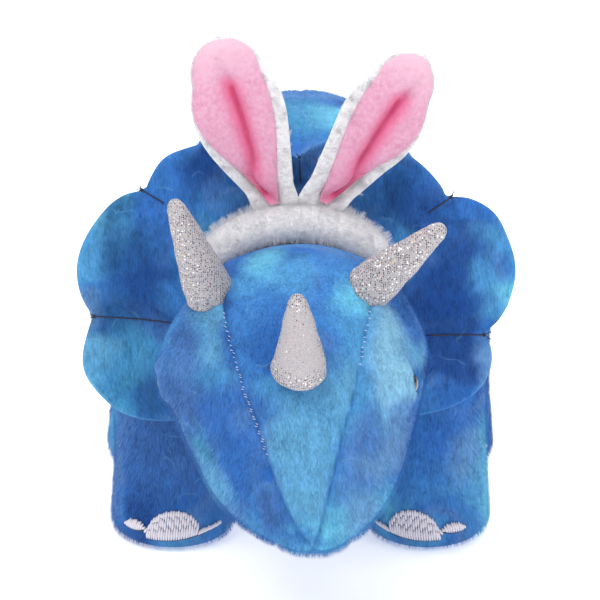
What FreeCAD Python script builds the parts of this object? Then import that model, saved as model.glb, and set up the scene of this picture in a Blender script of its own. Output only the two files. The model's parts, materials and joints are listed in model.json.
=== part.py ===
"""A stuffed horned dinosaur that stands on four legs and wears a bunny-ear headband.

The toy faces -Y, +Z is up and the origin is on the floor under the middle of its box. Every stuffed part is a
fabric skin, cut in the panels that are sewn together, round a core of fibre fill. What flexes at a seam is a
ball or a round root in a socket, so that it turns about its joint with a running clearance.
"""

import FreeCAD, Part
import math
import os

V = FreeCAD.Vector

# Driving dimensions, in millimetres and degrees.
FABRIC = 2.0  # plush backing and pile
GAP = 0.6  # running clearance at a flexing seam
FAR = 400.0  # larger than the toy

TORSO_AT = V(0, 33, 130)
TORSO_RADII = (62.0, 88.0, 64.0)
BELLY_HALF_WIDTH = 26.0
BELLY_TOP = 100.0

NECK_AT = V(0, -46, 120)
NECK_R = 33.0
HEAD_ROLL = -2.5  # the head sits a little crooked on its seam, with its beak to the right

HIP_Z = 88.0
LEG_R = 27.0
FOOT_R = 29.0
SOLE_R = 20.5
FRONT_HIP = (60.0, -20.0)
REAR_HIP = (64.0, 68.0)
LEG_SWING = 8.0
TOE_RAISE = 0.9
TOE_Z = 8.0  # the straight lower edge of the toes
TOE_TURN = {"front_left": 0.0, "front_right": -14.0, "rear_left": 0.0, "rear_right": 12.0}

TAIL_ROOT = V(0, 108, 100)
TAIL_TIP = V(0, 164, 60)
TAIL_ROOT_R = 24.0
TAIL_TIP_R = 5.0
TAIL_SWING = 18.0

CROWN = V(0, -76, 165)  # top end of the head's long axis
BEAK = V(0, -146, 47)  # bottom end of the head's long axis
HEAD_BACK_Y = -62.0
HEAD_LEFT_BULGE = 3.0  # the left cheek is stuffed fuller than the right
HEAD_STATIONS = [  # share of the way from the crown to the beak, half width, half depth
    (0.000, 14.0, 12.0),
    (0.035, 28.0, 22.0),
    (0.100, 41.5, 30.0),
    (0.215, 53.0, 37.5),
    (0.370, 61.0, 42.0),
    (0.520, 57.0, 41.0),
    (0.680, 48.5, 37.0),
    (0.830, 37.5, 31.0),
    (0.940, 23.0, 20.0),
    (1.000, 8.0, 8.0),
]
PANEL_HALF_WIDTHS = [(50, 1), (60, 5), (82, 12), (102, 18), (124, 25.5), (154, 34), (172, 36), (240, 36)]
CHIN_HALF = 16.0

FRILL_BACK_Y = -53.0  # back face at the frill's top
FRILL_LEAN = 5.4
FRILL_FACE = 1.5
FRILL_WADDING = 6.0
FRILL_HOLE_R = 36.0
# The frill's outline, as seen from the front: three scallops a side, each from one notch to the next.
TOP_NOTCH = (3, 203)
LEFT_SCALLOPS = [
    [TOP_NOTCH, (-12, 210), (-30, 213), (-48, 209), (-60, 204), (-67, 195), (-70, 190)],
    [(-70, 190), (-82, 186), (-94, 173), (-101, 157), (-101, 143), (-96, 131)],
    [(-96, 131), (-101, 118), (-101, 105), (-97, 96), (-88, 86), (-76, 80), (-60, 77), (-44, 78)],
]
RIGHT_SCALLOPS = [
    [TOP_NOTCH, (16, 210), (32, 210), (48, 204), (59, 196), (67, 186), (71, 180)],
    [(71, 180), (81, 179), (90, 173), (97, 161), (100, 147), (98, 131), (93, 121), (85, 114)],
    [(85, 114), (88, 104), (87, 96), (82, 87), (71, 80), (60, 76), (44, 75)],
]
GATHERS = [
    (TOP_NOTCH, (3, 190)),
    ((-70, 190), (-60, 183)),
    ((-96, 131), (-58, 125)),
    ((71, 180), (61, 173)),
    ((85, 114), (58, 114)),
]

HORN_TIP_R = 4.0
HORN_CLOTH = 1.2
HORN_SUNK = 8.0
THREAD_R = 0.6

BAND_AT = V(0, -74, 123)
BAND_RADIUS = 52.0
BAND_R = 9.5
BAND_END = 42.0  # degrees above the horizontal where each end is sewn down

EAR_LENGTH = 87.0
EAR_HALF_WIDTH = 22.0
EAR_ROOT_R = 5.0
EAR_ROOT_HALF = 10.0
EAR_LAYER = 4.5
EAR_BACK = 5.0
EAR_FORWARD = 25.0

EYE_R = 6.0
EYE_SUNK = 3.5  # how far the button's flat back lies under the cheek's outside
EYE_STEM = 9.0
EYE_STEM_R = 1.6
EYE_FROM = V(-2, -108, 119)  # middle of the head, from which each eye is aimed
EYES = {"left": V(-0.99, 0.0, -0.07).normalize(), "right": V(0.95, -0.31, -0.07).normalize()}


def point_up(direction):
    """The rotation that turns +Z to a direction."""
    return FreeCAD.Rotation(V(0, 0, 1), direction)


def ellipsoid(centre, radii):
    matrix = FreeCAD.Matrix()
    matrix.scale(V(*radii))
    shape = Part.makeSphere(1.0).transformGeometry(matrix)
    shape.translate(centre)
    return shape


def box(low, high):
    size = V(*high).sub(V(*low))
    return Part.makeBox(size.x, size.y, size.z, V(*low))


def turned(shape, centre, axis, degrees):
    copy = shape.copy()
    copy.rotate(centre, axis, degrees)
    return copy


def swept(shape, centre, axis, low, high, steps=5):
    """The space that a shape needs as it turns about an axis from low to high degrees."""
    places = [turned(shape, centre, axis, low + (high - low) * i / (steps - 1)) for i in range(steps)]
    return places[0].multiFuse(places[1:])


def revolved(edges):
    """A solid of revolution about Z from a closed profile of edges in the XZ plane."""
    face = Part.Face(Part.Wire(edges))
    return face.revolve(V(0, 0, 0), V(0, 0, 1), 360)


def lines(*points):
    return [Part.LineSegment(V(*a), V(*b)).toShape() for a, b in zip(points, points[1:])]


def arc(a, b, c):
    return Part.Arc(V(*a), V(*b), V(*c)).toShape()


# ---------------------------------------------------------------- torso, neck, tail


def torso(inset):
    return ellipsoid(TORSO_AT, [r - inset for r in TORSO_RADII])


def tail(grow):
    """The tail: a round root that turns in the rump, and a tapered end."""
    along = TAIL_TIP.sub(TAIL_ROOT)
    root_r, tip_r = TAIL_ROOT_R + grow, TAIL_TIP_R + grow
    ball = Part.makeSphere(root_r, TAIL_ROOT)
    cone = Part.makeCone(root_r - 1.0, tip_r, along.Length, TAIL_ROOT, along)
    return ball.multiFuse([cone, Part.makeSphere(tip_r, TAIL_TIP)]).removeSplitter()


# ---------------------------------------------------------------- legs


def leg(grow):
    """A stump on the Z axis: a flat round-edged foot, a straight shank and a round hip."""
    flat, foot, shank = SOLE_R, FOOT_R + grow, LEG_R + grow
    low = -grow
    diagonal = math.sqrt(0.5)
    profile = lines((0, 0, low), (flat, 0, low))
    profile += [arc((flat, 0, low), (foot - 2.4, 0, low + 2.9), (foot, 0, 9.0))]
    profile += lines((foot, 0, 9.0), (shank, 0, 42.0), (shank, 0, HIP_Z))
    profile += [arc((shank, 0, HIP_Z), (shank * diagonal, 0, HIP_Z + shank * diagonal), (0, 0, HIP_Z + shank))]
    profile += lines((0, 0, HIP_Z + shank), (0, 0, low))
    return revolved(profile)


def toes():
    """A raised patch of satin stitch on the front of a foot: a middle toe and a side toe each side."""
    def disc(x, z, radius):
        return Part.makeCylinder(radius, FAR, V(x, 0, z), V(0, -1, 0))

    outline = disc(0, TOE_Z + 2.5, 11.5)
    bar = box((-20.0, -FAR, TOE_Z), (20.0, 0, TOE_Z + 2.5))
    outline = outline.multiFuse([disc(-17.0, TOE_Z + 1.0, 6.0), disc(17.0, TOE_Z + 1.0, 6.0), bar])
    outline = outline.common(box((-FAR, -FAR, TOE_Z), (FAR, 0, FAR)))
    return leg(TOE_RAISE).cut(leg(0)).common(outline)


# ---------------------------------------------------------------- head


def head(inset):
    """A loft of ovals along the line from the crown to the beak."""
    axis = BEAK.sub(CROWN)
    forward = V(axis).normalize().cross(V(1, 0, 0)).normalize()
    widest = max(width for _, width, _ in HEAD_STATIONS)
    end_inset = {0.0: 0.01, 1.0: -0.01}  # share of the length by which each end draws in, for each mm of inset
    wires = []
    for share, width, depth in HEAD_STATIONS:
        share += end_inset.get(share, 0.0) * inset
        bulge = HEAD_LEFT_BULGE * (width / widest) ** 2
        centre = CROWN.add(V(-bulge, axis.y * share, axis.z * share))
        wide, deep = max(width - inset, 4.0), max(depth - inset, 4.0)
        points = []
        for k in range(16):
            a = 2 * math.pi * k / 16
            out = V(forward).multiply(deep * math.sin(a)).add(V(wide * math.cos(a), 0, 0))
            points.append(centre.add(out))
        curve = Part.BSplineCurve()
        curve.interpolate(Points=points, PeriodicFlag=True)
        wires.append(Part.Wire([curve.toShape()]))
    return Part.makeLoft(wires, True, False)


def forehead_space():
    """The region of the forehead panel: over the crown, between the brow horns, to a point at the beak."""
    right = [(half, 0, z) for z, half in PANEL_HALF_WIDTHS]
    left = [(-half, 0, z) for z, half in reversed(PANEL_HALF_WIDTHS)]
    face = Part.Face(Part.Wire(lines(*right, *left, right[0])))
    prism = face.extrude(V(0, -FAR, 0))
    below_crown = box((-FAR, -FAR, 0), (FAR, FAR, 150))
    return prism.cut(half_space_behind_head_axis().common(below_crown))


def half_space_behind_head_axis():
    """Everything behind the plane through the head's long axis."""
    solid = box((-FAR, 0, -FAR), (FAR, FAR, FAR))
    axis = CROWN.sub(BEAK)
    solid.rotate(V(0, 0, 0), V(1, 0, 0), -math.degrees(math.atan2(axis.y, axis.z)))
    solid.translate(V(0, (CROWN.y + BEAK.y) / 2, (CROWN.z + BEAK.z) / 2))
    return solid


def horn(base, tip, base_r, inset):
    """A cone with a rounded tip that stands from base to tip, with its foot sunk in the head."""
    along = tip.sub(base)
    direction = V(along).normalize()
    tip_r = HORN_TIP_R - inset
    top = base.add(V(direction).multiply(along.Length - HORN_TIP_R))
    foot = base.sub(V(direction).multiply(HORN_SUNK))
    cone = Part.makeCone(base_r - inset, tip_r, top.sub(foot).Length, foot, direction)
    return cone.fuse(Part.makeSphere(tip_r, top))


# ---------------------------------------------------------------- frill, headband, ears


def frill_outline():
    """The scallops and the straight run under the neck, as one closed wire in the XZ plane."""
    edges = []
    for scallop in LEFT_SCALLOPS + RIGHT_SCALLOPS:
        curve = Part.BSplineCurve()
        curve.interpolate([V(x, 0, z) for x, z in scallop])
        edges.append(curve.toShape())
    low_left, low_right = LEFT_SCALLOPS[-1][-1], RIGHT_SCALLOPS[-1][-1]
    edges += lines((low_left[0], 0, low_left[1]), (low_right[0], 0, low_right[1]))
    return Part.Wire(Part.sortEdges(edges)[0])


def frill_layer(front, back):
    """A slab of the frill between two depths in front of its back face, with the hole for the neck."""
    slab = Part.Face(frill_outline()).extrude(V(0, -(front - back), 0))
    slab.translate(V(0, -back, 0))
    slab.rotate(V(0, 0, 199), V(1, 0, 0), -FRILL_LEAN)
    slab.translate(V(0, FRILL_BACK_Y, 0))
    return slab.cut(Part.makeSphere(FRILL_HOLE_R, NECK_AT))


def in_frill(x, z, depth):
    """The place of a point of the frill's outline plane, that far in front of its back face."""
    point = V(x, -depth, z)
    rotation = FreeCAD.Rotation(V(1, 0, 0), -FRILL_LEAN)
    pivot = V(0, 0, 199)
    return rotation.multVec(point.sub(pivot)).add(pivot).add(V(0, FRILL_BACK_Y, 0))


def gather_thread(notch, inner):
    """A thread that runs in along the front, round the notch and in along the back of the frill."""
    thick = 2 * FRILL_FACE + FRILL_WADDING
    out = 1.2
    away = V(notch[0] - inner[0], 0, notch[1] - inner[1]).normalize()
    edge = (notch[0] + away.x * out, notch[1] + away.z * out)
    route = [
        in_frill(*inner, thick + THREAD_R),
        in_frill(*edge, thick + THREAD_R),
        in_frill(*edge, -THREAD_R),
        in_frill(*inner, -THREAD_R),
    ]
    parts = [Part.makeSphere(THREAD_R, p) for p in route]
    for a, b in zip(route, route[1:]):
        parts.append(Part.makeCylinder(THREAD_R, b.sub(a).Length, a, b.sub(a)))
    return parts[0].multiFuse(parts[1:])


def headband(inset):
    """A soft round band that stands over the crown, from one temple to the other."""
    sweep = 180 - 2 * BAND_END
    ring = Part.makeTorus(BAND_RADIUS, BAND_R - inset, V(0, 0, 0), V(0, 0, 1), -180, 180, sweep)
    ring.rotate(V(0, 0, 0), V(0, 0, 1), BAND_END)
    ring.rotate(V(0, 0, 0), V(1, 0, 0), 90)
    ends = []
    for degrees in (BAND_END, 180 - BAND_END):
        a = math.radians(degrees)
        at = V(BAND_RADIUS * math.cos(a), 0, BAND_RADIUS * math.sin(a))
        ends.append(Part.makeSphere(BAND_R - inset, at))
    band = ring.multiFuse(ends)
    band.translate(BAND_AT)
    return band


def ear_outline(inset):
    """A leaf outline in the XZ plane, from a narrow root at z = 0 to a rounded tip."""
    half = EAR_HALF_WIDTH - inset
    top = EAR_LENGTH - inset
    root = EAR_ROOT_HALF - inset * 0.5
    side = [V(root, 0, 3.0), V(half * 0.75, 0, top * 0.3), V(half, 0, top * 0.58), V(half * 0.62, 0, top * 0.87)]
    mirror = [V(-p.x, 0, p.z) for p in reversed(side)]
    curve = Part.BSplineCurve()
    curve.interpolate(side + [V(0, 0, top)] + mirror)
    closing = Part.LineSegment(mirror[-1], side[0]).toShape()
    return Part.Wire([curve.toShape(), closing])


def ear(grow):
    """The white back and the pink lining of an ear whose root lies along X at the origin."""
    back = Part.Face(ear_outline(-grow)).extrude(V(0, EAR_LAYER + grow, 0))
    root_half = EAR_ROOT_HALF + grow
    root = Part.makeCylinder(EAR_ROOT_R + grow, 2 * root_half, V(-root_half, 0, 0), V(1, 0, 0))
    lining = Part.Face(ear_outline(2.5 - grow)).extrude(V(0, -EAR_LAYER - grow, 0))
    return back.fuse(root), lining.cut(root)


EARS = {
    "left": (V(-11, -73, 181), -13.7),
    "right": (V(15, -73, 179.5), 33.0),
}


def placed_ear(shape, side):
    root, lean = EARS[side]
    copy = shape.copy()
    copy.rotate(V(0, 0, 0), V(0, 1, 0), lean)
    copy.translate(root)
    return copy


def ear_axis(side):
    """The line that an ear folds about, across its root."""
    lean = math.radians(EARS[side][1])
    return V(math.cos(lean), 0, -math.sin(lean))


# ---------------------------------------------------------------- assembly


def build():
    parts = {}

    # Legs, and the sockets that they turn in.
    hips = {}
    for pair, (x, y) in (("front", FRONT_HIP), ("rear", REAR_HIP)):
        for side, sign in (("left", -1), ("right", 1)):
            hips[f"{pair}_{side}"] = V(sign * x, y, 0)
    outer_leg, inner_leg, toe_patch = leg(0), leg(-FABRIC), toes()
    sole = Part.makeCylinder(SOLE_R, FABRIC)
    leg_space = swept(leg(GAP), V(0, 0, HIP_Z), V(1, 0, 0), -LEG_SWING, LEG_SWING)
    sockets = []
    for name, at in hips.items():
        pieces = {
            "skin": outer_leg.cut(inner_leg).cut(sole),
            "fill": inner_leg,
            "sole": sole,
            "toes": toe_patch,
        }
        for kind, shape in pieces.items():
            copy = turned(shape, V(0, 0, 0), V(0, 0, 1), TOE_TURN[name])
            copy.translate(at)
            parts[f"leg_{name}_{kind}"] = copy
        socket = leg_space.copy()
        socket.translate(at)
        sockets.append(socket)

    # Tail.
    parts["tail_skin"] = tail(0).cut(tail(-FABRIC))
    parts["tail_fill"] = tail(-FABRIC)
    sockets.append(swept(tail(GAP), TAIL_ROOT, V(0, 0, 1), -TAIL_SWING, TAIL_SWING))

    # Neck.
    neck_socket = Part.makeSphere(NECK_R + GAP, NECK_AT)
    sockets.append(neck_socket)
    parts["neck_fill"] = Part.makeSphere(NECK_R, NECK_AT)

    # Torso panels round the fill.
    skin = torso(0).cut(torso(FABRIC)).cut(sockets[0].multiFuse(sockets[1:]))
    belly_space = box((-BELLY_HALF_WIDTH, -FAR, 0), (BELLY_HALF_WIDTH, FAR, BELLY_TOP))
    parts["belly_panel"] = skin.common(belly_space)
    flanks = skin.cut(belly_space)
    parts["flank_left"] = flanks.common(box((-FAR, -FAR, 0), (0, FAR, FAR)))
    parts["flank_right"] = flanks.common(box((0, -FAR, 0), (FAR, FAR, FAR)))
    parts["torso_fill"] = torso(FABRIC).cut(sockets[0].multiFuse(sockets[1:]))

    # Hand stitches that close the belly seam, and the blank label sewn into it.
    outer_torso = torso(0)
    stitches = []
    for i in range(7):
        y = 4.0 + 6.0 * i
        across = V(BELLY_HALF_WIDTH - 2.0, y, 70.3)
        stitches.append(Part.makeCylinder(THREAD_R, 5.0, across, V(1, 0.3, 0.42)).cut(outer_torso))
    parts["closing_stitches"] = Part.makeCompound([s for shape in stitches for s in shape.Solids])
    label = box((-BELLY_HALF_WIDTH - 1.0, 14.0, 52.0), (-BELLY_HALF_WIDTH, 34.0, 76.0))
    parts["sewn_label"] = label.cut(outer_torso)

    # Frill: two faces over wadding, gathered by five threads.
    thick = 2 * FRILL_FACE + FRILL_WADDING
    head_parts = {
        "frill_back": frill_layer(FRILL_FACE, 0),
        "frill_wadding": frill_layer(FRILL_FACE + FRILL_WADDING, FRILL_FACE),
        "frill_face": frill_layer(thick, FRILL_FACE + FRILL_WADDING),
    }
    frill = frill_layer(thick, 0)
    threads = [gather_thread(*g).cut(frill) for g in GATHERS]
    head_parts["frill_threads"] = Part.makeCompound([s for shape in threads for s in shape.Solids])

    # Head panels round the fill, in front of the frill.
    behind = box((-FAR, 0, -FAR), (FAR, FAR, FAR))
    behind.translate(V(0, -thick, 0))
    behind.rotate(V(0, 0, 199), V(1, 0, 0), -FRILL_LEAN)
    behind.translate(V(0, FRILL_BACK_Y, 0))
    outer_head = head(0).cut(behind).cut(neck_socket)
    inner_head = head(FABRIC).cut(behind).cut(neck_socket)
    shell = outer_head.cut(inner_head)
    forehead = forehead_space()
    head_parts["forehead_panel"] = shell.common(forehead)
    cheeks = shell.cut(forehead)
    chin_space = box((-CHIN_HALF, -FAR, 0), (CHIN_HALF, FAR, 100)).common(half_space_behind_head_axis())
    head_parts["chin_panel"] = cheeks.common(chin_space)
    cheeks = cheeks.cut(chin_space)
    head_parts["cheek_left"] = cheeks.common(box((-FAR, -FAR, 0), (0, FAR, FAR)))
    head_parts["cheek_right"] = cheeks.common(box((0, -FAR, 0), (FAR, FAR, FAR)))

    # Eyes: a half-round button pulled into the cheek, its stem and a washer inside.
    eye_space = []
    for side, out in EYES.items():
        aim = Part.makeLine(EYE_FROM, EYE_FROM.add(V(out).multiply(FAR))).common(outer_head)
        at = max((v.Point for v in aim.Vertexes), key=EYE_FROM.distanceToPoint)
        middle = at.sub(V(out).multiply(EYE_SUNK))
        behind_eye = Part.makeCylinder(2 * EYE_R, 2 * EYE_R, middle, V(out).negative())
        button = Part.makeSphere(EYE_R, middle).cut(behind_eye)
        stem = Part.makeCylinder(EYE_STEM_R, EYE_STEM + 1.0, at.sub(V(out).multiply(EYE_SUNK + EYE_STEM)), out)
        washer = Part.makeCylinder(5.0, 1.2, at.sub(V(out).multiply(EYE_SUNK + EYE_STEM - 3.0)), out)
        button = button.fuse(stem)
        head_parts[f"eye_{side}"] = button
        head_parts[f"eye_washer_{side}"] = washer.cut(stem)
        eye_space += [button, washer]
    eyes = eye_space[0].multiFuse(eye_space[1:])
    for name in ("cheek_left", "cheek_right", "forehead_panel"):
        head_parts[name] = head_parts[name].cut(eyes)
    head_parts["head_fill"] = inner_head.cut(eyes)

    # Horns stand on the head.
    horns = {
        "brow_horn_left": (V(-40, -107, 160), V(-53.5, -125, 208), 12.0),
        "brow_horn_right": (V(34.5, -108, 158), V(67.5, -124, 190), 12.0),
        "nose_horn": (V(0, -140, 125), V(1, -167, 176), 14.0),
    }
    horn_space = []
    for name, (base, tip, radius) in horns.items():
        whole, fill = horn(base, tip, radius, 0), horn(base, tip, radius, HORN_CLOTH)
        head_parts[name + "_skin"] = whole.cut(fill).cut(outer_head)
        head_parts[name + "_fill"] = fill.cut(outer_head)
        horn_space.append(whole)

    # Headband and ears.
    back, lining = ear(0)
    space = ear(GAP)[0].fuse(ear(GAP)[1])
    ear_parts = {}
    spaces = []
    for side in EARS:
        ear_parts[f"ear_{side}_back"] = placed_ear(back, side)
        ear_parts[f"ear_{side}_lining"] = placed_ear(lining, side)
        root = EARS[side][0]
        spaces.append(swept(placed_ear(space, side), root, ear_axis(side), -EAR_BACK, EAR_FORWARD, 4))
    taken = spaces[0].multiFuse(spaces[1:] + horn_space + [outer_head]).fuse(behind)
    head_parts["headband_fill"] = headband(FABRIC).cut(taken)
    head_parts["headband_sleeve"] = headband(0).cut(headband(FABRIC)).cut(taken)

    # The whole head turns a little on its seam.
    for name, shape in {**head_parts, **ear_parts}.items():
        parts[name] = turned(shape, NECK_AT, V(0, 1, 0), HEAD_ROLL)
    return parts


def main():
    os.makedirs("parts", exist_ok=True)
    total = None
    for name, shape in sorted(build().items()):
        solids = [s for s in shape.Solids if s.Volume > 0.5]
        node = solids[0] if len(solids) == 1 else Part.makeCompound(solids)
        print(f"{name:24s} solids {len(solids)} valid {node.isValid()} volume {node.Volume:10.1f}")
        node.exportStep(f"parts/{name}.step")
        total = node.BoundBox if total is None else total.united(node.BoundBox)
    print("box", total)


main()
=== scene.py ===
"""The looks of a stuffed horned dinosaur: dyed plush, foil-dot horns, stitched toes and a fuzzy ear headband.

Each soft piece starts as a closed grid that takes its place and size from the CAD, is stuffed by a short cloth
simulation with its seams held, and then gets its seams, pile and stitches. The neck isn't stuffed, as it hardly
shows. Lengths are in metres, and MM is one millimetre.
"""

import json
import math

import bpy
import numpy as np
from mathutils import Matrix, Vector
from mathutils.bvhtree import BVHTree


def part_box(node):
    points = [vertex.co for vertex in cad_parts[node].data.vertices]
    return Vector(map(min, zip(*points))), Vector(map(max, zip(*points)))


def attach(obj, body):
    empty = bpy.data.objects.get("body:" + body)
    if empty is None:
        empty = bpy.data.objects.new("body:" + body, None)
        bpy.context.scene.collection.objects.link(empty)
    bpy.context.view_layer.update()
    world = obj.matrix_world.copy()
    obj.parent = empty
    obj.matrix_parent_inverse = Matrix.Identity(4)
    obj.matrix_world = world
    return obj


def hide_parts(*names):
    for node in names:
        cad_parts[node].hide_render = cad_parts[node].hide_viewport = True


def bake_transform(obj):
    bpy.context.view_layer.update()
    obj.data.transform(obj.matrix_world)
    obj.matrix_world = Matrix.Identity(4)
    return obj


MM = 0.001
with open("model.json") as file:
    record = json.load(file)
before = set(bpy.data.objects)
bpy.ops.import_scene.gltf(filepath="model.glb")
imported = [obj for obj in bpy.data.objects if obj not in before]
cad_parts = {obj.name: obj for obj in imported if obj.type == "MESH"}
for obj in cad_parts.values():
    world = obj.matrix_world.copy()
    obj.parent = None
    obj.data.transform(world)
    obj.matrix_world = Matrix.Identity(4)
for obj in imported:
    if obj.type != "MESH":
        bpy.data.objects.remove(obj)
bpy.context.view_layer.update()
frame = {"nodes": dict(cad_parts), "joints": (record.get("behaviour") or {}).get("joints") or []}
nodes = frame["nodes"]
joints = {j["name"]: j for j in frame["joints"]}
scene = bpy.context.scene

LEGS = ("front_left", "front_right", "rear_left", "rear_right")
SIDES = ("left", "right")
HEAD_ROLL = math.radians(-2.5)  # the head sits crooked on its neck by this much, about +Y

PILE = 2.3 * MM  # height of the blue nap
FUZZ = 4.5 * MM  # height of the white pile
VELOUR = 1.4 * MM  # height of the pink nap
OTHER_PANEL = -20 * MM  # panel map value of a piece that isn't the forehead
UNSEWN = 20 * MM  # panel map value of cloth far from any seam
REACH = 250 * MM  # rays start this far out, which clears the whole toy


# ---------------------------------------------------------------- meshes


def arr(v):
    return np.array(v, float)


def unit(v):
    v = arr(v)
    return v / np.linalg.norm(v)


def node_points(*names):
    return np.concatenate([[v.co[:] for v in nodes[n].data.vertices] for n in names]).astype(float)


def tree_of(*names):
    """A search tree on the surfaces of some CAD nodes."""
    points, polygons = [], []
    for n in names:
        base = len(points)
        mesh = nodes[n].data
        points += [v.co[:] for v in mesh.vertices]
        polygons += [[base + i for i in p.vertices] for p in mesh.polygons]
    return BVHTree.FromPolygons(points, polygons)


def outside(tree, origin, way, far=REACH):
    """How far from the origin a surface lies along a way, for a ray that comes in from outside, or nan."""
    hit = tree.ray_cast(Vector(origin + way * far), Vector(-way), far)
    return math.nan if hit[0] is None else far - hit[3]


def tree_of_piece(obj):
    mesh = obj.data
    return BVHTree.FromPolygons([v.co[:] for v in mesh.vertices], [p.vertices[:] for p in mesh.polygons])


def add_mesh(name, points, polygons):
    mesh = bpy.data.meshes.new(name)
    mesh.from_pydata([tuple(p) for p in points], [], [tuple(p) for p in polygons])
    mesh.update()
    mesh.polygons.foreach_set("use_smooth", [True] * len(mesh.polygons))
    obj = bpy.data.objects.new(name, mesh)
    scene.collection.objects.link(obj)
    return obj


def read(items, key, width=1, kind=float):
    """A value, or a row of them, of each item of a mesh's data."""
    values = np.zeros(len(items) * width, kind)
    items.foreach_get(key, values)
    return values.reshape(-1, width) if width > 1 else values


def get_points(obj):
    return read(obj.data.vertices, "co", 3)


def set_points(obj, points):
    obj.data.vertices.foreach_set("co", arr(points).ravel())
    obj.data.update()


def get_normals(obj):
    return read(obj.data.vertices, "normal", 3)


def set_values(obj, name, values):
    found = obj.data.attributes.get(name) or obj.data.attributes.new(name, "FLOAT", "POINT")
    found.data.foreach_set("value", arr(values).astype(np.float32))


def get_values(obj, name):
    return read(obj.data.attributes[name].data, "value")


def set_panel_map(obj, inside, far):
    """Stores, as a UV map that the pile can read too, how far inside the forehead panel each point is (less
    than 0 outside it) and how far it is from a seam, both in millimetres."""
    uv = obj.data.uv_layers.new(name="panel")
    corner = read(obj.data.loops, "vertex_index", kind=int)
    both = np.stack([np.broadcast_to(arr(v) / MM, len(obj.data.vertices)) for v in (inside, far)], 1)
    uv.data.foreach_set("uv", both[corner].ravel())


def weigh(obj, name, weights):
    """A vertex group with a weight for each point."""
    group = obj.vertex_groups.new(name=name)
    for i, w in enumerate(weights):
        if w > 0.01:
            group.add([i], float(w), "REPLACE")


def set_all(target, **settings):
    for key, value in settings.items():
        setattr(target, key, value)


def apply_modifiers(obj):
    graph = bpy.context.evaluated_depsgraph_get()
    mesh = bpy.data.meshes.new_from_object(obj.evaluated_get(graph))
    obj.modifiers.clear()
    old, obj.data = obj.data, mesh
    bpy.data.meshes.remove(old)
    mesh.name = obj.name


def subdivide(obj):
    obj.modifiers.new("finer", "SUBSURF").levels = 1
    apply_modifiers(obj)


def closed_grid(rows, columns):
    """Faces of a grid that closes round its columns, with rows * columns points and then a pole for each end."""
    faces = []
    for i in range(rows - 1):
        for j in range(columns):
            k = (j + 1) % columns
            faces.append((i * columns + j, i * columns + k, (i + 1) * columns + k, (i + 1) * columns + j))
    low, high = rows * columns, rows * columns + 1
    for j in range(columns):
        k = (j + 1) % columns
        faces.append((low, k, j))
        faces.append((high, (rows - 1) * columns + j, (rows - 1) * columns + k))
    return faces


def fill_gaps(radii):
    """Where a ray met nothing, the radius settles at its neighbours' mean, so that a gap is spanned smoothly."""
    missing = np.isnan(radii)
    radii = np.where(missing, np.nanmean(radii), radii)
    for _ in range(400 if missing.any() else 0):
        up, down = np.vstack([radii[:1], radii[:-1]]), np.vstack([radii[1:], radii[-1:]])
        mean = (up + down + np.roll(radii, 1, 1) + np.roll(radii, -1, 1)) / 4
        radii = np.where(missing, mean, radii)
    return radii


def wrap(name, cover, start, end, side, body_rings, columns, cap_rings, least=0.0):
    """A closed grid laid on CAD nodes from outside, round the line from start to end. Rays fan out at both ends.
    The first column is on the way that side points. A ray that meets nothing above the least radius is spanned.
    """
    tree = tree_of(*cover)
    start, end = arr(start), arr(end)
    axis = unit(end - start)
    side = unit(arr(side) - axis * np.dot(side, axis))
    other = np.cross(axis, side)
    quarter = math.pi / 2
    rows = [(0.0, -quarter + quarter * i / cap_rings) for i in range(1, cap_rings + 1)]
    rows += [(i / body_rings, 0.0) for i in range(1, body_rings + 1)]
    rows += [(1.0, quarter * i / cap_rings) for i in range(1, cap_rings)]
    turns = np.arange(columns) * 2 * math.pi / columns
    origins, ways = [], []
    for share, tilt in rows:
        for a in turns:
            origins.append(start + (end - start) * share)
            ways.append(math.cos(tilt) * (side * math.cos(a) + other * math.sin(a)) + math.sin(tilt) * axis)
    radii = arr([outside(tree, origin, way) for origin, way in zip(origins, ways)])
    radii = fill_gaps(np.where(radii > least, radii, np.nan).reshape(len(rows), columns))
    points = arr(origins) + arr(ways) * radii.reshape(-1, 1)
    low = start - axis * radii[0].mean()
    high = end + axis * radii[-1].mean()
    return add_mesh(name, np.vstack([points, low, high]), closed_grid(len(rows), columns))


def smooth_points(obj, times):
    """Relaxes the mesh, so that creases left by the CAD's cuts go."""
    a, b = read(obj.data.edges, "vertices", 2, int).T
    points = get_points(obj)
    count = np.bincount(np.concatenate([a, b]), minlength=len(points)).reshape(-1, 1)
    for _ in range(times):
        total = np.zeros_like(points)
        np.add.at(total, a, points[b])
        np.add.at(total, b, points[a])
        points += 0.5 * (total / count - points)
    set_points(obj, points)


def seam_distance(points, *panels):
    """How far each point is from the nearest seam between these CAD panels."""
    trees = [tree_of(p) for p in panels]
    far = arr([[t.find_nearest(Vector(p))[3] for t in trees] for p in points])
    return np.sort(far, axis=1)[:, 1]


def press_in(obj, amount):
    """Moves each point in along its normal."""
    set_points(obj, get_points(obj) - get_normals(obj) * arr(amount).reshape(-1, 1))


def bell(distance, width):
    """1 at no distance, falling smoothly to nearly 0 at twice the width."""
    return np.exp(-((distance / width) ** 2))


def circle(columns, side, other):
    """Even ways all round, from side on towards other."""
    turns = np.arange(columns) * 2 * math.pi / columns
    return np.outer(np.cos(turns), side) + np.outer(np.sin(turns), other)


def ripple(points, size, seed):
    """Smooth unevenness from -1 to 1, with bumps of about this size: loose fill under cloth."""
    rng = np.random.default_rng(seed)
    total = np.zeros(len(points))
    for _ in range(12):
        way = unit(rng.normal(size=3))
        length = size * rng.uniform(0.7, 1.5)
        total += np.sin(points @ way * 2 * math.pi / length + rng.uniform(0, 6.3))
    return total / 5.0


# ---------------------------------------------------------------- stuffing

STUFFED = []


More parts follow.
